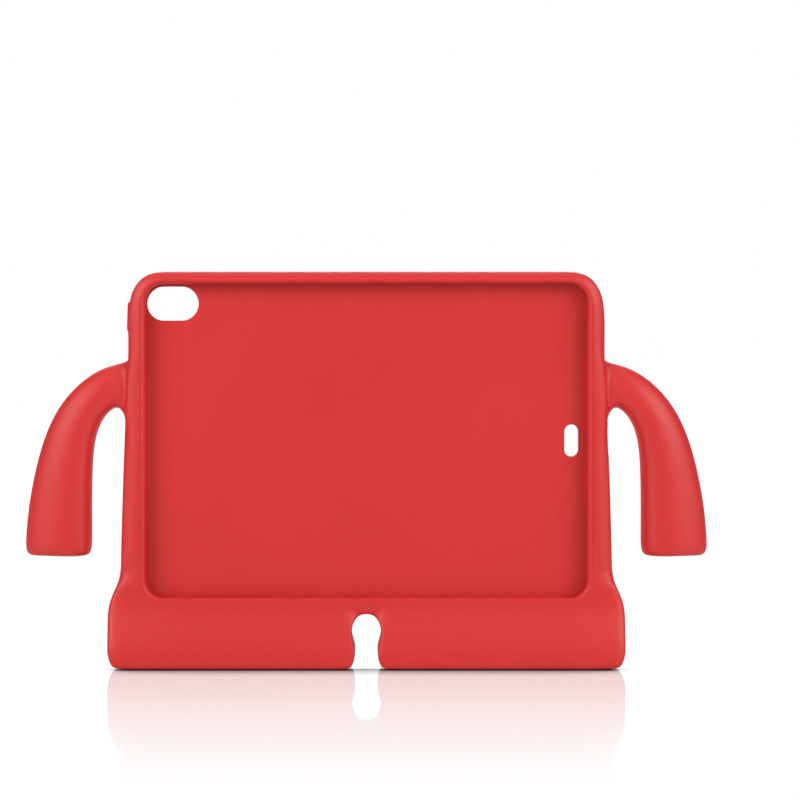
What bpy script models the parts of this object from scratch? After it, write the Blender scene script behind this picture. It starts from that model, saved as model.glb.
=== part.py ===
"""Kids tablet case: one soft EVA foam moulding with a screen window, two arms and two feet.

The case stands on its feet on z = 0. X runs across its width, +Z is up and the window faces -Y.
The body, the arms and the feet are one coarse cage of rings round the window, smoothed by a
Subdivision Surface, and the openings of the back and the sides are cut afterwards.
"""
from math import acos, cos, degrees, pi, radians, sin

import bmesh
import bpy
from mathutils import Vector

MM = 0.001

# Tablet that the case holds, and the pocket round it
TABLET_WIDTH = 247.6 * MM
TABLET_HEIGHT = 178.5 * MM
TABLET_THICK = 5.9 * MM
TABLET_CORNER = 12.2 * MM
TABLET_FIT = 0.4 * MM
LIP_OVERLAP_SIDE = 1.5 * MM
LIP_OVERLAP_END = 2.1 * MM
LIP_THICK = 4.5 * MM
LIP_EDGE = 1.1 * MM
BEVEL_WIDTH = 2.2 * MM
BEVEL_RUN_ON = 1.0 * MM

# Body round the pocket
SIDE_WALL = 7.9 * MM
SIDE_TAPER = 4.4 * MM
TAPER_CURVE = 0.75
TOP_WALL = 4.1 * MM
BACK_PANEL = 11.3 * MM
CORNER_ACROSS = 15.5 * MM
CORNER_DOWN = 21.0 * MM
EDGE_ROUND = 6.0 * MM
EDGE_DEEP = 7.0 * MM
EDGE_ROOM = 0.62

# Feet
CHIN_HEIGHT = 37.1 * MM
TOE_HEIGHT = 6.0 * MM
TOE_CURVE = 1.3
FOOT_HEIGHT = 32.0 * MM
FOOT_BLEND = 22.0 * MM
FOOT_SPREAD = 7.0 * MM
FOOT_FORWARD = 8.0 * MM
FOOT_BACKWARD = 22.0 * MM
FOOT_CORNER = 6.0 * MM
SOLE_EDGE = 6.0 * MM
BACK_BLEND_TOP = 60.0 * MM
BACK_BLEND_LOW = 16.0 * MM

# Keyhole slot between the feet
NECK_WIDTH = 12.6 * MM
NECK_CORNER = 4.0 * MM
BULB_WIDTH = 17.0 * MM
BULB_TALL = 22.0 * MM
KEYHOLE_HEIGHT = 30.9 * MM

# Arms: each lies between two quarter ellipses that start at the shoulder
SHOULDER_HEIGHT = 170.2 * MM
SHOULDER_TALL = 25.2 * MM
ARM_REACH = 56.3 * MM
WRIST_TALL = 11.8 * MM
ELBOW_FULLNESS = 0.95
ARMPIT_GAP = 6.6 * MM
ARMPIT_REACH = 13.5 * MM
ARMPIT_DROP = 42.0 * MM
SHOULDER_BLEND = 5.0 * MM
ARMPIT_BLEND = 7.5 * MM
HAND_HEIGHT = 62.4 * MM
SHOULDER_DEPTH = 18.0 * MM
HAND_DEPTH = 27.0 * MM
HAND_ROUND = 5.0 * MM
HAND_SLOPE = 1.6 * MM
PALM_SHARE = 1.0
ARM_TURNS = (7, 22, 38, 54, 71, 90)
SECTION_ACROSS = 0.72
SECTION_ALONG = 0.55
SECTION_TURN = 60

# Openings, placed from the middle of the tablet as the front shows them
CAMERA_WIDTH = 28.7 * MM
CAMERA_TALL = 18.9 * MM
CAMERA_FLARE = 2.6 * MM
CAMERA_FROM_SIDE = 16.3 * MM
CAMERA_FROM_TOP = 13.2 * MM
CONTACT_WIDTH = 7.8 * MM
CONTACT_TALL = 17.8 * MM
CONTACT_FLARE = 2.5 * MM
CONTACT_FROM_SIDE = 9.9 * MM
PORT_TALL = 15.0 * MM
PORT_DEEP = 6.0 * MM
PORT_FLARE = 1.0 * MM
SPEAKER_TALL = 26.0 * MM
SPEAKER_DEEP = 2.6 * MM
SPEAKER_FLARE = 0.6 * MM
SPEAKER_FROM_MIDDLE = 58.0 * MM
PAD_TALL = 17.0 * MM
PAD_WIDE = 5.0 * MM
PAD_PROUD = 0.8 * MM
PAD_FROM_TOP = 12.0 * MM

# Worked out from the sizes above
POCKET_HALF = TABLET_WIDTH / 2 + TABLET_FIT
POCKET_LOW = CHIN_HEIGHT + BEVEL_WIDTH - LIP_OVERLAP_END - TABLET_FIT
POCKET_TOP = POCKET_LOW + TABLET_HEIGHT + 2 * TABLET_FIT
POCKET_CORNER = TABLET_CORNER + TABLET_FIT
POCKET_DEPTH = TABLET_THICK + TABLET_FIT
WINDOW_HALF = TABLET_WIDTH / 2 - LIP_OVERLAP_SIDE
WINDOW_LOW = CHIN_HEIGHT + BEVEL_WIDTH
WINDOW_TOP = WINDOW_LOW + TABLET_HEIGHT - 2 * LIP_OVERLAP_END
WINDOW_CORNER = TABLET_CORNER - LIP_OVERLAP_END
MIDDLE_HEIGHT = (POCKET_LOW + POCKET_TOP) / 2
BODY_HALF = POCKET_HALF + SIDE_WALL
WAIST_HALF = BODY_HALF + SIDE_TAPER
FOOT_HALF = WAIST_HALF + FOOT_SPREAD
CASE_TOP = POCKET_TOP + TOP_WALL
BODY_DEPTH = LIP_THICK + POCKET_DEPTH + BACK_PANEL
FOOT_DEPTH = FOOT_FORWARD + BODY_DEPTH + FOOT_BACKWARD
FRONT = FOOT_FORWARD - FOOT_DEPTH / 2
LIP_BACK = FRONT + LIP_THICK
FLOOR = LIP_BACK + POCKET_DEPTH
BACK = FRONT + BODY_DEPTH
BODY_MIDDLE = (FRONT + BACK) / 2
BULB_HEIGHT = KEYHOLE_HEIGHT - BULB_TALL / 2
FLARE_TOP = FOOT_HEIGHT + FOOT_BLEND
ARM_DROP = SHOULDER_HEIGHT - WRIST_TALL - HAND_HEIGHT
ARMPIT_HEIGHT = SHOULDER_HEIGHT - SHOULDER_TALL
ABOVE_SHOULDER = SHOULDER_HEIGHT + SHOULDER_BLEND
BELOW_ARMPIT = ARMPIT_HEIGHT - ARMPIT_BLEND

# How many segments each stretch of the half outline has, from the top middle to the keyhole
TOP_COUNT, CORNER_COUNT, UPPER_COUNT, BLEND_COUNT = 2, 3, 1, 1
SHOULDER_COUNT, SIDE_COUNT, FLARE_COUNT = 2, 2, 4
FOOT_COUNT, FOOT_CORNER_COUNT, SOLE_EDGE_COUNT, SOLE_COUNT = 1, 2, 1, 2
NECK_CORNER_COUNT, NECK_COUNT, BULB_COUNT = 2, 2, 4
POCKET_CORNER_COUNT, HOLE_CORNER_COUNT, SLOT_CORNER_COUNT = 6, 5, 3

# Where the window's lower edge meets the feet's ends and the keyhole, as shares of its half
OUTER_SHARE = 0.84
KEYHOLE_SHARE = 0.26

CAGE_LEVELS = 1
FLAT_ANGLE = radians(0.1)
SEAM_MERGE = 0.05 * MM
RED = (0.708, 0.036, 0.033)


def smooth_step(start, end, value):
    """0 at start, 1 at end, and level at both."""
    t = min(max((value - start) / (end - start), 0.0), 1.0)
    return t * t * (3 - 2 * t)


def half_width(z):
    """Half the width of the body's silhouette at a height."""
    drop = min(max((SHOULDER_HEIGHT - z) / (SHOULDER_HEIGHT - FLARE_TOP), 0.0), 1.0)
    taper = SIDE_TAPER * drop ** TAPER_CURVE
    return BODY_HALF + taper + FOOT_SPREAD * smooth_step(FLARE_TOP, FOOT_HEIGHT, z)


def front_face(z):
    """Y of the front: flat round the window, and leaning forward below it."""
    lean = min(max((CHIN_HEIGHT - z) / (CHIN_HEIGHT - TOE_HEIGHT), 0.0), 1.0)
    return FRONT - FOOT_FORWARD * sin(lean * pi / 2) ** TOE_CURVE


def back_face(z):
    """Y of the back: flat behind the tablet, and swept back in the feet."""
    return BACK + FOOT_BACKWARD * smooth_step(BACK_BLEND_TOP, BACK_BLEND_LOW, z)


def line(start, end, count):
    """Points from start up to, but without, end."""
    return [Vector(start).lerp(Vector(end), step / count) for step in range(count)]


def arc(centre, across, up, first, last, count):
    """Points along an elliptical arc, angles in degrees, without the last one."""
    angles = [radians(first + (last - first) * step / count) for step in range(count)]
    return [Vector((centre[0] + across * cos(a), centre[1] + up * sin(a))) for a in angles]


def silhouette():
    """Half of the case's outline: top, side, foot and one half of the keyhole."""
    def side(z):
        return half_width(z), z

    neck = NECK_WIDTH / 2
    bulb_angle = acos(neck / (BULB_WIDTH / 2))
    bulb_low = BULB_HEIGHT - BULB_TALL / 2 * sin(bulb_angle)
    corner = (BODY_HALF - CORNER_ACROSS, CASE_TOP - CORNER_DOWN)
    points = line((0, CASE_TOP), (corner[0], CASE_TOP), TOP_COUNT)
    points += arc(corner, CORNER_ACROSS, CORNER_DOWN, 90, 0, CORNER_COUNT)
    heights = line((corner[1], 0), (ABOVE_SHOULDER, 0), UPPER_COUNT)
    heights += line((ABOVE_SHOULDER, 0), (SHOULDER_HEIGHT, 0), BLEND_COUNT)
    heights += line((SHOULDER_HEIGHT, 0), (ARMPIT_HEIGHT, 0), SHOULDER_COUNT)
    heights += line((ARMPIT_HEIGHT, 0), (BELOW_ARMPIT, 0), BLEND_COUNT)
    heights += line((BELOW_ARMPIT, 0), (FLARE_TOP, 0), SIDE_COUNT)
    heights += line((FLARE_TOP, 0), (FOOT_HEIGHT, 0), FLARE_COUNT)
    heights += line((FOOT_HEIGHT, 0), (FOOT_CORNER, 0), FOOT_COUNT)
    points += [Vector(side(height.x)) for height in heights]
    points += arc((FOOT_HALF - FOOT_CORNER, FOOT_CORNER), FOOT_CORNER, FOOT_CORNER, 0, -90,
                  FOOT_CORNER_COUNT)
    sole_outer = FOOT_HALF - FOOT_CORNER - SOLE_EDGE
    sole_inner = neck + NECK_CORNER + SOLE_EDGE
    points += line((FOOT_HALF - FOOT_CORNER, 0), (sole_outer, 0), SOLE_EDGE_COUNT)
    points += line((sole_outer, 0), (sole_inner, 0), SOLE_COUNT)
    points += line((sole_inner, 0), (neck + NECK_CORNER, 0), SOLE_EDGE_COUNT)
    points += arc((neck + NECK_CORNER, NECK_CORNER), NECK_CORNER, NECK_CORNER, 270, 180,
                  NECK_CORNER_COUNT)
    points += line((neck, NECK_CORNER), (neck, bulb_low), NECK_COUNT)
    points += arc((0, BULB_HEIGHT), BULB_WIDTH / 2, BULB_TALL / 2, -degrees(bulb_angle), 90, BULB_COUNT)
    return points + [Vector((0, KEYHOLE_HEIGHT))]


def frame_outline(half, low, top, corner):
    """Half of a rounded rectangle, point for point beside the silhouette."""
    inner = half - corner
    outer_runs = FOOT_COUNT + FOOT_CORNER_COUNT + SOLE_EDGE_COUNT
    keyhole_runs = SOLE_EDGE_COUNT + NECK_CORNER_COUNT + NECK_COUNT + BULB_COUNT
    above = min(ABOVE_SHOULDER, top - corner)
    points = line((0, top), (inner, top), TOP_COUNT)
    points += arc((inner, top - corner), corner, corner, 90, 0, CORNER_COUNT)
    points += line((half, top - corner), (half, above), UPPER_COUNT)
    points += line((half, above), (half, SHOULDER_HEIGHT), BLEND_COUNT)
    points += line((half, SHOULDER_HEIGHT), (half, ARMPIT_HEIGHT), SHOULDER_COUNT)
    points += line((half, ARMPIT_HEIGHT), (half, BELOW_ARMPIT), BLEND_COUNT)
    points += line((half, BELOW_ARMPIT), (half, low + corner), SIDE_COUNT)
    points += arc((inner, low + corner), corner, corner, 0, -90, FLARE_COUNT)
    points += line((inner, low), (inner * OUTER_SHARE, low), outer_runs)
    points += line((inner * OUTER_SHARE, low), (inner * KEYHOLE_SHARE, low), SOLE_COUNT)
    points += line((inner * KEYHOLE_SHARE, low), (0, low), keyhole_runs)
    return points + [Vector((0, low))]


def whole(half_points):
    """A closed outline from its right half, which starts and ends on the middle line."""
    return half_points + [Vector((-p.x, p.y)) for p in half_points[-2:0:-1]]


def ring(bm, outline, depth):
    """A ring of vertices on an outline, at the Y that depth gives for each height."""
    return [bm.verts.new((p.x, depth(p.y), p.y)) for p in outline]


def skin(bm, first, second):
    """One row of faces between two rings."""
    pairs = list(zip(first, second))
    for (a, b), (c, d) in zip(pairs, pairs[1:] + pairs[:1]):
        bm.faces.new((a, c, d, b))


def edge_rings(bm, outer, inner, face, steps):
    """Rings from the silhouette over its rounded edge and on to the inner outline."""
    toward = 1 if face is front_face else -1
    rings = []
    for turn in (0, 45, 90):
        def depth(z, turn=turn):
            return face(z) + toward * EDGE_DEEP * (1 - sin(radians(turn)))

        inset = [min(EDGE_ROUND, EDGE_ROOM * (b - a).length) * (1 - cos(radians(turn)))
                 for a, b in zip(outer, inner)]
        outline = [a + (b - a).normalized() * d for a, b, d in zip(outer, inner, inset)]
        rings.append(ring(bm, outline, depth))
    for step in range(1, steps + 1):
        mixed = [a.lerp(b, step / (steps + 1)) for a, b in zip(outline, inner)]
        rings.append(ring(bm, mixed, face))
    return rings


def arm_section(turn):
    """Centre of the arm, and the way from it to the outer edge, at a turn from the shoulder."""
    outer = Vector((BODY_HALF + ARM_REACH * sin(turn) ** ELBOW_FULLNESS,
                    SHOULDER_HEIGHT - ARM_DROP * (1 - max(cos(turn), 0) ** ELBOW_FULLNESS)))
    inner = Vector((BODY_HALF + ARMPIT_GAP + ARMPIT_REACH * sin(turn),
                    ARMPIT_HEIGHT + ARMPIT_DROP * (cos(turn) - 1)))
    return (outer + inner) / 2, (outer - inner) / 2


def build_cage():
    """The body, feet and arms as one closed cage."""
    bm = bmesh.new()
    outer = whole(silhouette())
    bevel_slope = (LIP_THICK - LIP_EDGE) / BEVEL_WIDTH
    recess = FRONT + bevel_slope * (BEVEL_WIDTH + BEVEL_RUN_ON)

    def window(grow):
        return whole(frame_outline(WINDOW_HALF + grow, WINDOW_LOW - grow, WINDOW_TOP + grow,
                                   WINDOW_CORNER + grow))

    def back_field(grow):
        margin = EDGE_ROUND + SIDE_WALL / 2
        return whole(frame_outline(BODY_HALF - margin + grow, BACK_BLEND_TOP - grow,
                                   CASE_TOP - margin + grow, CORNER_DOWN + grow))

    front = edge_rings(bm, outer, window(BEVEL_WIDTH), front_face, 2)
    back = edge_rings(bm, outer, back_field(0), back_face, 3)
    sides = [[bm.verts.new(a.co.lerp(b.co, share)) for a, b in zip(front[0], back[0])]
             for share in (0.3, 0.7)]
    front.append(ring(bm, window(BEVEL_WIDTH), lambda z: FRONT))
    front.append(ring(bm, window(-BEVEL_RUN_ON), lambda z: recess))
    front.append(ring(bm, window(-BEVEL_RUN_ON - LIP_THICK), lambda z: recess))
    back.append(ring(bm, back_field(0), lambda z: BACK))
    back.append(ring(bm, back_field(-SIDE_WALL), lambda z: BACK))
    rings = front[::-1] + sides + back
    for first, second in zip(rings, rings[1:]):
        skin(bm, first, second)
    bm.faces.new(rings[0])
    bm.faces.new(rings[-1])

    shoulder = TOP_COUNT + CORNER_COUNT + UPPER_COUNT + BLEND_COUNT
    band = [front[1], front[0], sides[0], sides[1], back[0], back[1]]
    count = len(outer)
    for rows in ([shoulder, shoulder + 1, shoulder + 2],
                 [count - shoulder, count - shoulder - 1, count - shoulder - 2]):
        add_arm(bm, [[column[row] for column in band] for row in rows])
    return bm


def arm_patch(bm, side, centre, half, deep, columns):
    """Three rows of vertices across the arm: its outer edge, its middle and its inner edge."""
    rows = []
    for lift in (1, 0, -1):
        verts = []
        for column in range(columns):
            turn = radians(90 + SECTION_TURN * (1 - 2 * column / (columns - 1)))
            across = -1 if cos(turn) < 0 else 1
            reach = abs(cos(turn)) ** SECTION_ACROSS if lift else 1
            place = centre + half * lift * sin(turn) ** SECTION_ALONG
            verts.append(bm.verts.new((side * place.x, BODY_MIDDLE + across * reach * deep, place.y)))
        rows.append(verts)
    return rows


def rim_of(patch):
    """The vertices round a patch of three rows, in order."""
    upper, middle, lower = patch
    return upper + [middle[-1]] + lower[::-1] + [middle[0]]


def drop_inside(bm, patch):
    """Removes what a patch holds inside its rim, with the faces there."""
    for vert in patch[1][1:-1]:
        bm.verts.remove(vert)


def add_arm(bm, root):
    """Draws one arm out of a patch of the body's side, ring by ring, and closes its hand."""
    side = 1 if root[0][0].co.x > 0 else -1
    columns = len(root[0])
    previous = rim_of(root)
    drop_inside(bm, root)
    hand_outer = BODY_HALF + ARM_REACH
    hand_inner = BODY_HALF + ARMPIT_GAP + ARMPIT_REACH
    hand_middle = (hand_outer + hand_inner) / 2
    hand_half = Vector(((hand_outer - hand_inner) / 2, HAND_SLOPE / 2))
    stations = []
    for turn in ARM_TURNS:
        centre, half = arm_section(radians(turn))
        depth = SHOULDER_DEPTH + (HAND_DEPTH - SHOULDER_DEPTH) * turn / 90
        stations.append((centre, half, depth / 2))
    for rise, share in ((HAND_ROUND, 1), (0, PALM_SHARE)):
        centre = Vector((hand_middle, HAND_HEIGHT + rise))
        stations.append((centre, hand_half * share, HAND_DEPTH / 2 * share))
    for centre, half, deep in stations[:-1]:
        patch = arm_patch(bm, side, centre, half, deep, columns)
        drop_inside(bm, patch)
        skin(bm, previous, rim_of(patch))
        previous = rim_of(patch)
    palm = arm_patch(bm, side, *stations[-1], columns)
    skin(bm, previous, rim_of(palm))
    for upper, lower in zip(palm, palm[1:]):
        for column in range(columns - 1):
            bm.faces.new((upper[column], upper[column + 1], lower[column + 1], lower[column]))


def stadium(bm, place, along, across, length, width, way, levels, quarter):
    """A closed prism with round ends; levels give its distance along way and its growth."""
    straight = max(length - width, 0) / 2
    rings = []
    for distance, grow in levels:
        radius = width / 2 + grow
        verts = []
        for end in (1, -1):
            for step in range(2 * quarter + 1):
                turn = pi / 2 * (step / quarter - 1)
                x = end * (straight + radius * cos(turn))
                y = end * radius * sin(turn)
                verts.append(bm.verts.new(place + along * x + across * y + way * distance))
        rings.append(verts)
    for first, second in zip(rings, rings[1:]):
        skin(bm, first, second)
    bm.faces.new(rings[0])
    bm.faces.new(rings[-1])


def flared(depth, clear, flare):
    """Levels of a hole through a wall: straight, then rounding out to its mouth, then clear."""
    levels = [(-clear, 0), (depth - 2 * flare, 0)]
    for turn in (30, 60, 90):
        levels.append((depth - 2 * flare * (1 - sin(radians(turn))), flare * (1 - cos(radians(turn)))))
    return levels + [(depth + clear, flare)]


def finish(name, bm, collection):
    """Makes an object of a bmesh, with its faces outward."""
    bmesh.ops.recalc_face_normals(bm, faces=bm.faces)
    mesh = bpy.data.meshes.new(name)
    bm.to_mesh(mesh)
    bm.free()
    mesh.shade_smooth()
    thing = bpy.data.objects.new(name, mesh)
    collection.objects.link(thing)
    return thing


def add_tablet_space(cutters):
    """The pocket that the tablet fills, and the window in front of it."""
    bm = bmesh.new()
    window = (WINDOW_HALF, WINDOW_LOW, WINDOW_TOP, WINDOW_CORNER)
    pocket = (POCKET_HALF, POCKET_LOW, POCKET_TOP, POCKET_CORNER)
    rings = []
    for outline, y in ((window, FRONT - LIP_THICK), (window, LIP_BACK), (pocket, LIP_BACK),
                       (pocket, FLOOR)):
        half, low, top, corner = outline
        right = arc((half - corner, low + corner), corner, corner, -90, 0, POCKET_CORNER_COUNT)
        right += arc((half - corner, top - corner), corner, corner, 0, 90, POCKET_CORNER_COUNT)
        right.append(Vector((half - corner, top)))
        left = [Vector((-p.x, p.y)) for p in right[::-1]]
        rings.append(ring(bm, right + left, lambda z, y=y: y))
    for first, second in zip(rings, rings[1:]):
        skin(bm, first, second)
    bm.faces.new(rings[0])
    bm.faces.new(rings[-1])
    return finish("tablet_space", bm, cutters)


def add_openings(cutters):
    """The holes of the back and the sides, as one cutter."""
    bm = bmesh.new()
    across, up, back = Vector((1, 0, 0)), Vector((0, 0, 1)), Vector((0, 1, 0))
    camera = Vector((CAMERA_FROM_SIDE - TABLET_WIDTH / 2, FLOOR,
                     POCKET_TOP - TABLET_FIT - CAMERA_FROM_TOP))
    stadium(bm, camera, across, up, CAMERA_WIDTH, CAMERA_TALL, back,
            flared(BACK_PANEL, POCKET_DEPTH / 2, CAMERA_FLARE), HOLE_CORNER_COUNT)
    contacts = Vector((TABLET_WIDTH / 2 - CONTACT_FROM_SIDE, FLOOR, MIDDLE_HEIGHT))
    stadium(bm, contacts, up, across, CONTACT_TALL, CONTACT_WIDTH, back,
            flared(BACK_PANEL, POCKET_DEPTH / 2, CONTACT_FLARE), HOLE_CORNER_COUNT)
    port = Vector((POCKET_HALF, (LIP_BACK + FLOOR) / 2, MIDDLE_HEIGHT))
    wall = half_width(MIDDLE_HEIGHT) - POCKET_HALF
    stadium(bm, port, up, back, PORT_TALL, PORT_DEEP, across,
            flared(wall, POCKET_DEPTH, PORT_FLARE), HOLE_CORNER_COUNT)
    for side in (-1, 1):
        for shift in (-SPEAKER_FROM_MIDDLE, SPEAKER_FROM_MIDDLE):
            height = MIDDLE_HEIGHT + shift
            place = Vector((side * POCKET_HALF, (LIP_BACK + FLOOR) / 2, height))
            wall = half_width(height) - POCKET_HALF
            stadium(bm, place, up, back, SPEAKER_TALL, SPEAKER_DEEP, across * side,
                    flared(wall, POCKET_DEPTH, SPEAKER_FLARE), SLOT_CORNER_COUNT)
    return finish("openings", bm, cutters)


def add_power_pad(cutters):
    """The raised place over the tablet's power button, near the top of the left side."""
    bm = bmesh.new()
    place = Vector((-BODY_HALF, (LIP_BACK + FLOOR) / 2, POCKET_TOP - PAD_FROM_TOP - PAD_TALL / 2))
    levels = [(-SIDE_WALL / 4, 0), (PAD_PROUD / 2, 0), (PAD_PROUD, -PAD_PROUD / 2)]
    stadium(bm, place, Vector((0, 0, 1)), Vector((0, 1, 0)), PAD_TALL, PAD_WIDE, Vector((-1, 0, 0)),
            levels, SLOT_CORNER_COUNT)
    return finish("power_pad", bm, cutters)


def foam_material():
    """Matte red foam."""
    material = bpy.data.materials.new("red_foam")
    material.use_nodes = True
    shader = material.node_tree.nodes["Principled BSDF"]
    shader.inputs["Base Color"].default_value = (*RED, 1)
    shader.inputs["Roughness"].default_value = 0.6
    shader.inputs["Metallic"].default_value = 0.0
    return material


def clear_scene():
    """Removes whatever the file starts with."""
    for thing in list(bpy.data.objects):
        bpy.data.objects.remove(thing, do_unlink=True)


def main():
    clear_scene()
    parts = bpy.data.collections.new("kids_tablet_case")
    cutters = bpy.data.collections.new("cutters")
    for collection in (parts, cutters):
        bpy.context.scene.collection.children.link(collection)
    case = finish("foam_case", build_cage(), parts)
    case.data.materials.append(foam_material())
    smooth = case.modifiers.new("soft_form", "SUBSURF")
    smooth.levels = CAGE_LEVELS
    smooth.render_levels = CAGE_LEVELS
    for guide, operation in ((add_power_pad(cutters), "UNION"),
                             (add_tablet_space(cutters), "DIFFERENCE"),
                             (add_openings(cutters), "DIFFERENCE")):
        guide.hide_render = True
        guide.display_type = "WIRE"
        cut = case.modifiers.new(guide.name, "BOOLEAN")
        cut.object = guide
        cut.operation = operation
    weld = case.modifiers.new("closed_seams", "WELD")
    weld.merge_threshold = SEAM_MERGE
    flats = case.modifiers.new("merged_flats", "DECIMATE")
    flats.decimate_type = "DISSOLVE"
    flats.angle_limit = FLAT_ANGLE


main()
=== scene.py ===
from math import atan2, cos, pi, radians, sin

import bmesh
import bpy
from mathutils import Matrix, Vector


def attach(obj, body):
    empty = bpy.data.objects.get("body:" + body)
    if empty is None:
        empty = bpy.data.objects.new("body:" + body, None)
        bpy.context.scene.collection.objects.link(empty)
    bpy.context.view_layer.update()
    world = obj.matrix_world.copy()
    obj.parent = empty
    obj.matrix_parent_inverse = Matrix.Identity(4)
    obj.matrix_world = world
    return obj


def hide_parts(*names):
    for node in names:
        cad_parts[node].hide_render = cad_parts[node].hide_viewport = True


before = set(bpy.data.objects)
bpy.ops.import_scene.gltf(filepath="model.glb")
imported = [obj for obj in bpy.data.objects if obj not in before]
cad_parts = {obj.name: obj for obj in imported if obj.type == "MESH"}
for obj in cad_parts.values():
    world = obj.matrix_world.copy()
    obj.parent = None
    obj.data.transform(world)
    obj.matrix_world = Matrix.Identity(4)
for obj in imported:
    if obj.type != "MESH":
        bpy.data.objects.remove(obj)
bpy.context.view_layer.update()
bpy.ops.object.select_all(action="DESELECT")


# Body and feet. One block of closed-cell EVA foam: a flat frame that widens into two feet with a
# keyhole slot between them. It is moulded in one go, so only its right half is shaped here, as a
# flat sheet that is cut into a grid, drawn to its outline and given its depth.
MM = 0.001
CLOSE = 0.1   # how near to a place, in mm, a corner of the mesh is to be picked there
HALF_WIDTH, TALL = 132.1, 220.2
FRONT, BACK = -18.05, 4.05
SHOULDER, ARMPIT = 170.2, 138.8
FLARE_TOP, CHIN = 54.0, 37.1
ROOT_EDGE = 2.6   # width of the soft edge round an arm's root

bpy.ops.mesh.primitive_plane_add(size=1, rotation=(pi / 2, 0, 0),
                                 location=(HALF_WIDTH / 2 * MM, FRONT * MM, TALL / 2 * MM))
case = bpy.context.object
case.name = "foam_tablet_case"
case.scale = (HALF_WIDTH * MM, TALL * MM, 1)
bpy.ops.object.transform_apply(location=True, rotation=True, scale=True)
bpy.ops.object.mode_set(mode="EDIT")


def cut(across, place):
    """Cuts the whole mesh with a plane square to an axis, at a place in mm."""
    bpy.ops.mesh.select_all(action="SELECT")
    bpy.ops.mesh.bisect(plane_co=[place * MM * a for a in across], plane_no=across)


KEYHOLE_SIDE, KEYHOLE_TOP = 8.5, 30.9   # the cells that the keyhole takes out
foot_rows = (2.4, 8.4, 12.5, 18.2, 24.4, KEYHOLE_TOP, CHIN, 43.0, 48.5, FLARE_TOP)
body_rows = (66.0, 96.0, ARMPIT - ROOT_EDGE - 7, ARMPIT - ROOT_EDGE, (ARMPIT + SHOULDER) / 2,
             SHOULDER + ROOT_EDGE, SHOULDER + ROOT_EDGE + 6)
for height in foot_rows + body_rows:
    cut((0, 0, 1), height)
for column in (KEYHOLE_SIDE, 21.0, 62.0, 108.0):
    cut((1, 0, 0), column)


def pick(kind, test):
    """Selects the vertices, edges or faces whose middle, in mm, and normal pass a test."""
    bpy.ops.mesh.select_mode(type=kind)
    bpy.ops.mesh.select_all(action="DESELECT")
    bm = bmesh.from_edit_mesh(bpy.context.object.data)
    if kind == "VERT":
        places = [(v, v.co / MM, v.normal) for v in bm.verts]
    elif kind == "EDGE":
        places = [(e, (e.verts[0].co + e.verts[1].co) / (2 * MM), e.verts[1].co - e.verts[0].co)
                  for e in bm.edges]
    else:
        places = [(f, f.calc_center_median() / MM, f.normal) for f in bm.faces]
    for item, place, normal in places:
        if test(place, normal):
            item.select_set(True)
    bm.select_flush_mode()
    bmesh.update_edit_mesh(bpy.context.object.data)


# Two short columns in the feet only: one beside the keyhole and one near their outer ends
for column, top in ((11.0, 43.0), (127.0, FLARE_TOP)):
    pick("FACE", lambda p, n: p.z < top and abs(p.x - column) < 20)
    bpy.ops.mesh.bisect(plane_co=(column * MM, 0, 0), plane_no=(1, 0, 0))


def slide(x=0.0, y=0.0, z=0.0):
    """Moves what is selected, in mm."""
    bpy.ops.transform.translate(value=(x * MM, y * MM, z * MM))


# The keyhole: its cells are taken out and the edge that they leave is drawn round
pick("FACE", lambda p, n: p.x < KEYHOLE_SIDE and p.z < KEYHOLE_TOP)
bpy.ops.mesh.delete(type="FACE")
keyhole_edge = ((0, 9.3, 0.6), (2.4, 7.2, 2.9), (8.4, 6.2, 8.4), (12.5, 6.3, 12.4),
                (18.2, 8.4, 17.8), (24.4, 8.1, 24.4), (KEYHOLE_TOP, 4.8, 29.7))
for height, to_x, to_z in keyhole_edge:
    pick("VERT", lambda p, n: abs(p.x - KEYHOLE_SIDE) < CLOSE and abs(p.z - height) < CLOSE)
    slide(x=to_x - KEYHOLE_SIDE, z=to_z - height)
pick("VERT", lambda p, n: p.x < CLOSE and abs(p.z - KEYHOLE_TOP) < CLOSE)
slide(z=30.5 - KEYHOLE_TOP)

# The top corner is a quarter of an oval
CORNER_ACROSS, CORNER_DOWN = 15.5, 21
pick("VERT", lambda p, n: p.x > HALF_WIDTH - CLOSE and p.z > TALL - CLOSE)
bpy.ops.mesh.bevel(offset=CORNER_ACROSS * MM, segments=3, affect="VERTICES", clamp_overlap=False)
pick("VERT", lambda p, n: p.x > HALF_WIDTH - CORNER_ACROSS - CLOSE
     and p.z > TALL - CORNER_ACROSS - CLOSE)
bpy.ops.transform.resize(value=(1, 1, CORNER_DOWN / CORNER_ACROSS),
                         center_override=(0, 0, TALL * MM))


def smooth_step(start, end, value):
    """0 at start, 1 at end, and level at both."""
    t = min(max((value - start) / (end - start), 0.0), 1.0)
    return t * t * (3 - 2 * t)


# The sides widen a little downwards, run out into the feet, and turn in at the soles
TAPER, SPREAD, SPREAD_END = 4.4, 7.0, 32.0
sole_turn = {0.0: 4.4, 2.4: 1.7}
for height in (0.0,) + foot_rows + body_rows[:-2]:
    drop = max((SHOULDER - height) / (SHOULDER - FLARE_TOP), 0)
    wider = TAPER * min(drop, 1) ** 0.75 + SPREAD * smooth_step(FLARE_TOP, SPREAD_END, height)
    pick("VERT", lambda p, n: p.x > HALF_WIDTH - CLOSE and abs(p.z - height) < CLOSE)
    slide(x=wider - sole_turn.get(height, 0))

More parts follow.
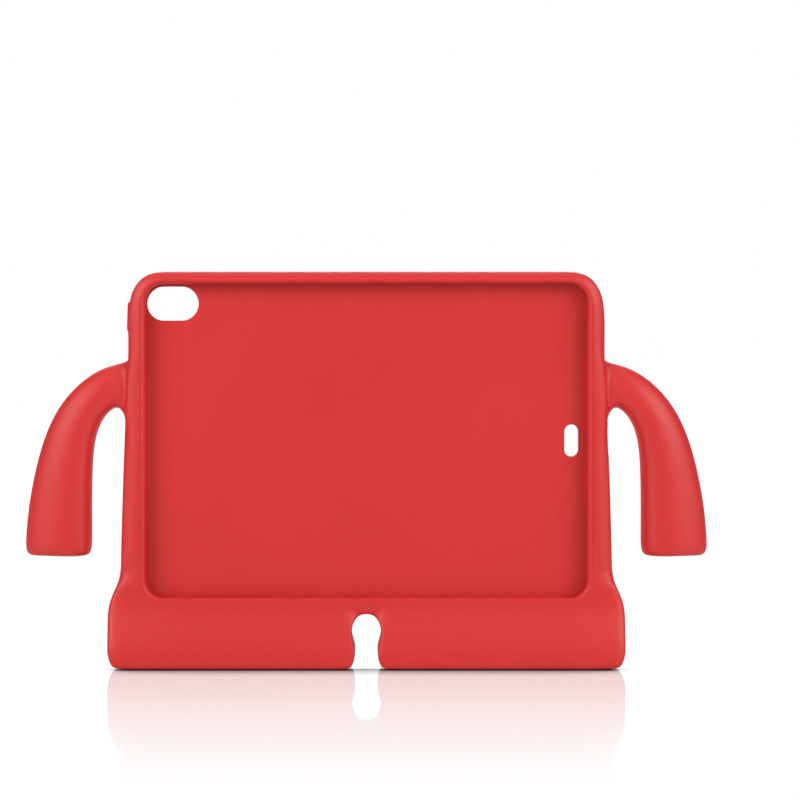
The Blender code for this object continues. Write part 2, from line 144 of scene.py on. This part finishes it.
# The sheet gets its thickness, and two rows of edges along its sides
bpy.ops.mesh.select_all(action="SELECT")
bpy.ops.mesh.extrude_region_move(TRANSFORM_OT_translate={"value": (0, (BACK - FRONT) * MM, 0)})
pick("FACE", lambda p, n: p.x < 0.01)
bpy.ops.mesh.delete(type="FACE")
for depth in (FRONT + 9.0, BACK - 7.0):
    cut((0, 1, 0), depth)
bpy.ops.mesh.select_all(action="SELECT")
bpy.ops.mesh.normals_make_consistent(inside=False)

# The front of the frame is crowned: flat next to the window, and sloped off to its outline. The
# slope is less where an arm grows out of it, and slight on the feet.
CROWN, ARM_CROWN, FOOT_CROWN = 3.0, 1.4, 0.5
pick("FACE", lambda p, n: n.y < -0.9 and p.y < FRONT + CLOSE and p.z > FLARE_TOP)
for inward in (5.5, 3.0):
    bpy.ops.mesh.inset(thickness=inward * MM, use_boundary=False)
pick("VERT", lambda p, n: p.y < FRONT + CLOSE and n.y > -0.95 and p.z > FLARE_TOP - CLOSE)
slide(y=CROWN)
pick("VERT", lambda p, n: p.y < FRONT + CROWN + CLOSE and HALF_WIDTH - 1 < p.x
     and ARMPIT - ROOT_EDGE - 1 < p.z < SHOULDER + ROOT_EDGE + 1)
slide(y=ARM_CROWN - CROWN)
pick("VERT", lambda p, n: p.y < FRONT + CLOSE and HALF_WIDTH - 1 < p.x and p.z < FLARE_TOP - CLOSE)
slide(y=FOOT_CROWN)

# The mould leaves the outline and the keyhole's edge firmer than the rest of the soft form, and
# over the keyhole's top the front rolls back into it
FIRMNESS = 0.32
pick("EDGE", lambda p, way: abs(way.y) < 0.01 * way.length
     and (abs(p.y - FRONT - CROWN) < CLOSE or abs(p.y - FRONT - FOOT_CROWN) < CLOSE))
bpy.ops.transform.edge_crease(value=FIRMNESS)
pick("EDGE", lambda p, way: p.y < FRONT + CLOSE and p.x < 9 and p.z < 31
     and (abs(way.z) > 0.3 * way.length or p.x < 3))
bpy.ops.transform.edge_crease(value=FIRMNESS)
pick("VERT", lambda p, n: p.y < FRONT + CLOSE and p.x < 6 and 28 < p.z < 31.5)
slide(y=0.9)

# The feet lean forward under the chin and sweep back behind the panel, with soft soles
LEAN, SWEEP, TOE, HEEL = 8.0, 22.0, -20, 20
for height in (0.0,) + foot_rows:
    share = min(max((CHIN - 2.6 - height) / (CHIN - 8.6), 0.0), 1.0)
    for low, high, move in ((-90, -9, -LEAN * sin(share * pi / 2) ** 1.3),
                            (-5, 90, SWEEP * smooth_step(60.0, 16.0, height))):
        pick("VERT", lambda p, n: abs(p.z - height) < 0.95 and low < p.y < high)
        slide(y=move)
for height, soft in ((0.0, 2.2), (2.4, 0.3)):
    pick("VERT", lambda p, n: abs(p.z - height) < 1.1 and n.y < -0.2 and p.y < TOE)
    slide(y=soft)
    pick("VERT", lambda p, n: abs(p.z - height) < 1.1 and n.y > 0.2 and p.y > HEEL)
    slide(y=-soft)


# Arms. Each grows out of the side of the body as one piece with it, bends down over the shoulder
# and ends in a flat hand, and it is the handle that a child holds. It is drawn out of a patch of
# the body's side in short steps, each turned and widened to the arm's section there.
pick("FACE", lambda p, n: n.x > 0.9 and ARMPIT - 3 < p.z < SHOULDER + 3 and p.x > HALF_WIDTH - 1)
bpy.ops.mesh.inset(thickness=ROOT_EDGE * MM, use_even_offset=True)
MID_DEPTH = (FRONT + ARM_CROWN + BACK) / 2
ROOT_DEEP = (BACK - FRONT - ARM_CROWN) / 2 - ROOT_EDGE
ROOT_TILT = 0.8   # how far the body's taper turns the patch out at its lower edge
middle = Vector((HALF_WIDTH + ROOT_TILT, MID_DEPTH, (ARMPIT + SHOULDER) / 2))
half, deep = Vector((-ROOT_TILT, 0, (SHOULDER - ARMPIT) / 2)), ROOT_DEEP

# The arm is a rounded bar that slopes off to its outer edge, so the corners are drawn in
for side, thin, narrow in ((1, 0.72, 0.64), (-1, 0.9, 0.74)):
    pick("VERT", lambda p, n: p.x > HALF_WIDTH - 1
         and CLOSE > abs(p.y - MID_DEPTH) - ROOT_DEEP > -CLOSE
         and 17 > (p.z - middle.z) * side > 10)
    bpy.ops.transform.resize(value=(1, thin, narrow),
                             center_override=(0, MID_DEPTH * MM, middle.z * MM))
pick("FACE", lambda p, n: n.x > 0.7 and p.x > HALF_WIDTH - 1 and abs(p.y - MID_DEPTH) < ROOT_DEEP
     and abs(p.z - middle.z) < 12)
# Each step: the arm's outer edge and inner edge, across and up, and half its depth. The edges
# that are drawn lie a little outside the soft form that comes out.
arm_steps = (((144.0, 167.6), (137.6, 147.2), 8.6), ((156.6, 160.4), (144.6, 142.2), 10.4),
             ((167.8, 149.0), (149.0, 134.8), 11.5), ((175.6, 135.6), (151.7, 125.6), 12.2),
             ((181.4, 119.0), (152.9, 112.8), 12.6), ((186.8, 94.0), (153.4, 91.2), 13.0),
             ((188.9, 71.0), (153.2, 70.0), 13.2), ((188.6, 62.8), (153.9, 62.4), 13.0))
OUTSIDE = 1.055
SETTLE = 0.5   # how far back each step moves, in mm, until the arm lies in the middle of the depth
for outer, inner, to_deep in arm_steps:
    settled = max(middle.y - SETTLE, (FRONT + BACK) / 2)
    outer, inner = Vector((outer[0], settled, outer[1])), Vector((inner[0], settled, inner[1]))
    to_middle, to_half = (outer + inner) / 2, (outer - inner) / 2 * OUTSIDE
    bpy.ops.mesh.extrude_region_move(TRANSFORM_OT_translate={"value": (to_middle - middle) * MM})
    centre = to_middle * MM
    turned = atan2(to_half.x, to_half.z) - atan2(half.x, half.z)
    bpy.ops.transform.rotate(value=-turned, orient_axis="Y", center_override=centre)
    wider, to_deep = to_half.length / half.length, to_deep * OUTSIDE
    bpy.ops.transform.resize(value=(wider, to_deep / deep, wider), center_override=centre)
    middle, half, deep = to_middle, to_half, to_deep
HAND_EDGE = 7.5
bpy.ops.mesh.inset(thickness=HAND_EDGE * MM)
bpy.ops.object.mode_set(mode="OBJECT")


# The two halves are one moulding, so the right one is mirrored, and the foam's soft form comes
# from subdividing the whole.
def finish_with(thing, kind, **settings):
    """Adds a modifier to an object and applies it at once."""
    bpy.ops.object.select_all(action="DESELECT")
    thing.select_set(True)
    bpy.context.view_layer.objects.active = thing
    modifier = thing.modifiers.new(kind.lower(), kind)
    for name, value in settings.items():
        setattr(modifier, name, value)
    bpy.ops.object.modifier_apply(modifier=modifier.name)


finish_with(case, "MIRROR", merge_threshold=0.00005)
bpy.ops.object.mode_set(mode="EDIT")
bpy.ops.mesh.select_all(action="SELECT")
bpy.ops.mesh.remove_doubles(threshold=0.00001)
bpy.ops.mesh.normals_make_consistent(inside=False)
bpy.ops.object.mode_set(mode="OBJECT")
finish_with(case, "SUBSURF", levels=3, render_levels=3)
bpy.ops.object.shade_smooth()


# Power pad. A low oval of the same foam near the top of the left side, moulded in one with the
# body. It lies over the power button, which is pressed through it.
def stadium(length, width, base, *levels):
    """An upright prism with round ends. A level is a height and how far the sides grow there."""
    done = levels[0]
    bpy.ops.mesh.primitive_cylinder_add(vertices=48, radius=width / 2 * MM,
                                        depth=(done[0] - base) * MM,
                                        location=(0, 0, (done[0] + base) / 2 * MM))
    bpy.ops.object.transform_apply(location=True)
    bpy.ops.object.mode_set(mode="EDIT")
    for side in (-1, 1):
        pick("VERT", lambda p, n: p.x * side > 0.001)
        slide(x=side * (length - width) / 2)
    pick("FACE", lambda p, n: n.z > 0.9)
    for level in levels[1:]:
        rise = (0, 0, (level[0] - done[0]) * MM)
        bpy.ops.mesh.extrude_region_move(TRANSFORM_OT_translate={"value": rise})
        grown = [(side / 2 + level[1]) / (side / 2 + done[1]) for side in (length, width)]
        bpy.ops.transform.resize(value=(grown[0], grown[1], 1),
                                 center_override=(0, 0, level[0] * MM))
        done = level
    bpy.ops.object.mode_set(mode="OBJECT")
    return bpy.context.object


def place(thing, location, rotation):
    """Puts an object in its place, in mm and degrees, with that place in its mesh."""
    thing.location = [x * MM for x in location]
    thing.rotation_euler = [radians(a) for a in rotation]
    bpy.ops.object.select_all(action="DESELECT")
    thing.select_set(True)
    bpy.context.view_layer.objects.active = thing
    bpy.ops.object.transform_apply(location=True, rotation=True)


def combine(thing, tool, operation):
    """Joins a shape to an object, or cuts it out of one, and removes the shape."""
    finish_with(thing, "BOOLEAN", operation=operation, object=tool)
    bpy.data.objects.remove(tool)


PORTS_DEPTH = -10.4   # all that opens to the sides is in the middle of the pocket's depth
PAD_TALL, PAD_DEEP, PAD_HEIGHT = 17, 6.2, 195
pad = stadium(PAD_TALL, PAD_DEEP, -2, (0.2, 0), (0.45, -0.5), (0.62, -1.1), (0.7, -2.2))
place(pad, (0.2 - HALF_WIDTH, PORTS_DEPTH, PAD_HEIGHT), (0, -88.2, 0))
combine(case, pad, "UNION")


# Pocket and window. The pocket is moulded into the foam to an exact size, with a lip all round
# that stretches and then holds. The window's edge rolls over from the frame's front to the lip.
POCKET_HALF, POCKET_LOW, POCKET_TOP = 124.2, 36.8, 216.1
LIP_BACK, FLOOR = -13.55, -7.25
WINDOW_HALF, WINDOW_LOW, WINDOW_TOP = 122.3, 39.3, 213.6


def rounded_block(half, low, top, front, back, corner):
    """A block across X, Y and Z in mm, with its four edges along Y rounded."""
    bpy.ops.mesh.primitive_cube_add(size=1, location=(0, (front + back) / 2 * MM,
                                                      (low + top) / 2 * MM))
    block = bpy.context.object
    block.scale = (2 * half * MM, (back - front) * MM, (top - low) * MM)
    bpy.ops.object.transform_apply(location=True, rotation=True, scale=True)
    bpy.ops.object.mode_set(mode="EDIT")
    pick("EDGE", lambda p, way: abs(way.y) > 0.9 * way.length)
    bpy.ops.mesh.bevel(offset=corner * MM, segments=10, affect="EDGES", clamp_overlap=False)
    return block


pocket = rounded_block(POCKET_HALF, POCKET_LOW, POCKET_TOP, LIP_BACK, FLOOR, 12.6)
bpy.ops.object.mode_set(mode="OBJECT")
combine(case, pocket, "DIFFERENCE")

MOUTH_DEEP = 3.4
window = rounded_block(WINDOW_HALF, WINDOW_LOW, WINDOW_TOP, FRONT + MOUTH_DEEP, LIP_BACK + 1, 10.1)
pick("FACE", lambda p, n: n.y < -0.9)
# The mouth is drawn out to the front in steps of growth and depth. At the chin it opens less,
# because the feet start there.
window_tall, low_share, done = WINDOW_TOP - WINDOW_LOW, 0.25, (0, MOUTH_DEEP)
still = WINDOW_LOW + window_tall * low_share / (1 + low_share)
for grow, depth in ((0.2, 2.4), (0.5, 1.6), (0.95, 1.0), (1.6, 0.62), (2.4, 0.42), (3.4, 0.3),
                    (3.6, -3.0)):
    forward = (0, (depth - done[1]) * MM, 0)
    bpy.ops.mesh.extrude_region_move(TRANSFORM_OT_translate={"value": forward})
    wider = (WINDOW_HALF + grow) / (WINDOW_HALF + done[0])
    taller = (window_tall + grow * (1 + low_share)) / (window_tall + done[0] * (1 + low_share))
    bpy.ops.transform.resize(value=(wider, 1, taller), center_override=(0, 0, still * MM))
    done = (grow, depth)
bpy.ops.object.mode_set(mode="OBJECT")
combine(case, window, "DIFFERENCE")


# Openings. They are moulded through the foam with soft mouths: one for the camera, one for the
# contacts at the back, one for the charging plug and four narrow ones for the speakers.
def opening(length, width, wall, flare):
    """A stadium that starts inside the pocket and rounds out to its mouth on the outer face."""
    levels = [(wall - 2 * flare, 0)]
    for turn in (15, 30, 45, 60, 75, 90):
        round_in, round_out = 1 - sin(radians(turn)), 1 - cos(radians(turn))
        levels.append((wall - 2 * flare * round_in, flare * round_out))
    return stadium(length, width, -3, *levels, (wall + 3, flare * 1.02))


MIDDLE = (POCKET_LOW + POCKET_TOP) / 2
PANEL, SIDE_WALL = BACK - FLOOR, HALF_WIDTH - POCKET_HALF
CAMERA_WIDE, CAMERA_TALL, CAMERA_FLARE = 28.7, 18.9, 2.6
CONTACT_TALL, CONTACT_WIDE, CONTACT_FLARE = 17.8, 7.8, 2.5
PLUG_TALL, PLUG_DEEP, PLUG_FLARE = 15, 6, 1.0
SPEAKER_TALL, SPEAKER_DEEP, SPEAKER_FLARE, SPEAKER_AWAY = 26, 2.6, 0.6, 58
holes = opening(CAMERA_WIDE, CAMERA_TALL, PANEL, CAMERA_FLARE)
place(holes, (-107.5, FLOOR, 202.5), (-90, 0, 0))
# The side wall is thicker lower down, where the body has widened
spots = [(opening(CONTACT_TALL, CONTACT_WIDE, PANEL, CONTACT_FLARE),
          (113.9, FLOOR, MIDDLE), (-90, 90, 0)),
         (opening(PLUG_TALL, PLUG_DEEP, SIDE_WALL + 1.8, PLUG_FLARE),
          (POCKET_HALF, PORTS_DEPTH, MIDDLE), (0, 90, 0))]
for side in (1, -1):
    for away, wall in ((SPEAKER_AWAY, SIDE_WALL + 0.1), (-SPEAKER_AWAY, SIDE_WALL + 3.4)):
        spots.append((opening(SPEAKER_TALL, SPEAKER_DEEP, wall, SPEAKER_FLARE),
                      (side * POCKET_HALF, PORTS_DEPTH, MIDDLE + away), (0, side * 90, 0)))
for thing, spot, turn in spots:
    place(thing, spot, turn)
    holes.select_set(True)
    bpy.context.view_layer.objects.active = holes
    bpy.ops.object.join()
combine(case, holes, "DIFFERENCE")
bpy.context.view_layer.objects.active = case
case.select_set(True)
SHARPEST_SOFT_EDGE = 38
bpy.ops.object.shade_smooth_by_angle(angle=radians(SHARPEST_SOFT_EDGE))
finish_with(case, "WEIGHTED_NORMAL", keep_sharp=True)
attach(case, "root")
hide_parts("foam_case")


# Foam skin. The mould leaves a matte, even skin with a fine pebbled grain, and the foam under it
# is a little uneven in tone. It catches light softly at its edges.
class Value:
    """A socket of a shader node on which sums are written as Python expressions."""

    def __init__(self, tree, socket):
        self.tree, self.socket = tree, socket

    def node(self, kind, settings=(), **inputs):
        """Adds a node with its settings, feeds its sockets, and gives its first output."""
        node = self.tree.nodes.new(kind)
        for name, value in dict(settings).items():
            setattr(node, name, value)
        for name, value in inputs.items():
            # n0, n1 and so on are sockets by number, and the others by name
            numbered = name[0] == "n" and name[1:].isdigit()
            socket = node.inputs[int(name[1:]) if numbered else name.replace("_", " ")]
            if isinstance(value, Value):
                self.tree.links.new(value.socket, socket)
            else:
                socket.default_value = value
        return Value(self.tree, node.outputs[0])

    def sum(self, operation, other, turned=False):
        pair = (other, self) if turned else (self, other)
        return self.node("ShaderNodeMath", {"operation": operation}, n0=pair[0], n1=pair[1])

    def __add__(self, other):
        return self.sum("ADD", other)

    def __mul__(self, other):
        return self.sum("MULTIPLY", other)

    def __sub__(self, other):
        return self.sum("SUBTRACT", other)

    def __rsub__(self, other):
        return self.sum("SUBTRACT", other, turned=True)

    def clamped(self, low, high):
        """0 below low, 1 above high, and smooth between them."""
        return self.node("ShaderNodeMapRange", {"interpolation_type": "SMOOTHSTEP"},
                         n0=self, n1=low, n2=high, n3=0.0, n4=1.0)

    __radd__, __rmul__ = __add__, __mul__


foam = bpy.data.materials.new("red_foam_skin")
foam.use_nodes = True
tree = foam.node_tree
shader = tree.nodes["Principled BSDF"]
here = Value(tree, tree.nodes.new("ShaderNodeTexCoord").outputs["Object"])
pebble = here.node("ShaderNodeTexVoronoi", {"feature": "SMOOTH_F1"}, Vector=here, Scale=1100.0,
                   Smoothness=0.6)
grain = here.node("ShaderNodeTexNoise", Vector=here, Scale=900.0, Detail=3.0, Roughness=0.6)
cloud = here.node("ShaderNodeTexNoise", Vector=here, Scale=9.0, Detail=2.0, Roughness=0.5)
fleck = here.node("ShaderNodeTexNoise", Vector=here, Scale=260.0, Detail=2.0, Roughness=0.6)
tone = cloud.clamped(0.3, 0.7) * 0.6 + fleck.clamped(0.3, 0.7) * 0.4
# Both reds are a little deeper than they look, because the skin's sheen lightens them
DEEP_RED, LIGHT_RED = (0.605, 0.0086, 0.0081, 1), (0.652, 0.0112, 0.0107, 1)
colour = here.node("ShaderNodeMix", {"data_type": "RGBA"}, n0=tone, n6=DEEP_RED, n7=LIGHT_RED)
colour.socket = colour.socket.node.outputs[2]
tree.links.new(colour.socket, shader.inputs["Base Color"])
tree.links.new((0.43 + grain * 0.1 + tone * 0.04).socket, shader.inputs["Roughness"])
bump = here.node("ShaderNodeBump", Strength=0.35, Distance=0.00008,
                 Height=pebble * 0.6 + grain * 0.7)
tree.links.new(bump.socket, shader.inputs["Normal"])
shader.inputs["Specular IOR Level"].default_value = 0.64
shader.inputs["Sheen Weight"].default_value = 0.06
shader.inputs["Sheen Roughness"].default_value = 0.45
shader.inputs["Sheen Tint"].default_value = (1, 0.72, 0.7, 1)
case.data.materials.clear()
case.data.materials.append(foam)


# Studio. A white table with a faint polish that runs out into a white background, two large soft
# lamps high on the left and right, one overhead and one behind, and a long lens straight in front.
bpy.ops.mesh.primitive_plane_add(size=12, location=(0, 0, -0.0001))
floor = bpy.context.object
floor.name = "studio_floor"
paint = bpy.data.materials.new("white_table")
paint.use_nodes = True
tree = paint.node_tree
tree.nodes.clear()
here = Value(tree, tree.nodes.new("ShaderNodeTexCoord").outputs["Object"])
seen = Value(tree, tree.nodes.new("ShaderNodeLightPath").outputs["Is Camera Ray"])
apart = here.node("ShaderNodeSeparateXYZ", Vector=here)
depth = Value(tree, apart.socket.node.outputs["Y"])
across = Value(tree, apart.socket.node.outputs["X"])
# The feet's contact shadow, darkest where the table is most hidden by them
near = (1 - (across * across).clamped(0.134 ** 2, 0.148 ** 2)) * (1 - depth.clamped(-0.018, -0.01))
touch = here.node("ShaderNodeAmbientOcclusion", {"samples": 16}, Distance=0.088)
touch.socket = touch.socket.node.outputs["AO"]
dark = near * (1 - touch.clamped(0.5, 0.9)) * seen
matte = here.node("ShaderNodeBsdfDiffuse", Color=(0.74, 0.74, 0.74, 1))
shadow = here.node("ShaderNodeBsdfDiffuse", Color=(0.06, 0.045, 0.045, 1))
polish = here.node("ShaderNodeBsdfGlossy", Color=(1, 1, 1, 1), Roughness=0.05)
glow = here.node("ShaderNodeEmission", Color=(1, 1, 1, 1), Strength=1.04)
table = here.node("ShaderNodeMixShader", n0=seen, n1=matte, n2=glow)
table = here.node("ShaderNodeMixShader", n0=dark, n1=table, n2=shadow)
# The polish mirrors the feet, and less so further to the front
shine = (depth.clamped(-0.75, 0.1) * 0.4 + 0.02) * (1 - depth.clamped(0.04, 0.2))
table = here.node("ShaderNodeMixShader", n0=shine, n1=table, n2=polish)
out = tree.nodes.new("ShaderNodeOutputMaterial")
tree.links.new(table.socket, out.inputs["Surface"])
floor.data.materials.append(paint)

scene = bpy.context.scene
scene.view_settings.view_transform = "Standard"
scene.world = scene.world or bpy.data.worlds.new("studio")
scene.world.use_nodes = True
tree = scene.world.node_tree
# The room is dim round the sides, and white straight ahead and wherever the camera sees it
way = Value(tree, tree.nodes.new("ShaderNodeTexCoord").outputs["Generated"])
seen = Value(tree, tree.nodes.new("ShaderNodeLightPath").outputs["Is Camera Ray"])
apart = way.node("ShaderNodeSeparateXYZ", Vector=way)
ahead = Value(tree, apart.socket.node.outputs["Y"]).clamped(0.93, 0.985)
room = 0.22 + ahead * 0.78
tree.nodes["Background"].inputs["Color"].default_value = (1, 1, 1, 1)
tree.links.new((room + seen * (1 - room)).socket, tree.nodes["Background"].inputs["Strength"])

LAMP_SIZE, LAMP_AIM = 0.9, Vector((0, 0, 0.1))   # in metres, as are the lamps' places
for spot, energy in (((-1.05, -0.92, 0.78), 12.5), ((1.05, -0.92, 0.78), 12.5),
                     ((0, 1.2, 1.15), 12), ((0, -0.25, 1.7), 5)):
    bpy.ops.object.light_add(type="AREA", location=spot)
    lamp = bpy.context.object
    lamp.name = "soft_lamp"
    lamp.data.size = LAMP_SIZE
    lamp.data.energy = energy
    lamp.rotation_euler = (LAMP_AIM - lamp.location).to_track_quat("-Z", "Y").to_euler()

bpy.ops.object.camera_add()
camera = bpy.context.object
scene.camera = camera
FILM, LENS, VIEW_WIDTH, VIEW_HEIGHT = 36, 200, 0.4428, 0.1085
camera.data.sensor_width = FILM
camera.data.lens = LENS
camera.data.shift_x = 0.042
camera.data.shift_y = 0.0919
distance = VIEW_WIDTH * LENS / FILM
rise = radians(2.0)
camera.location = (0, FRONT * MM - distance * cos(rise), VIEW_HEIGHT + distance * sin(rise))
camera.rotation_euler = (pi / 2 - rise, 0, 0)
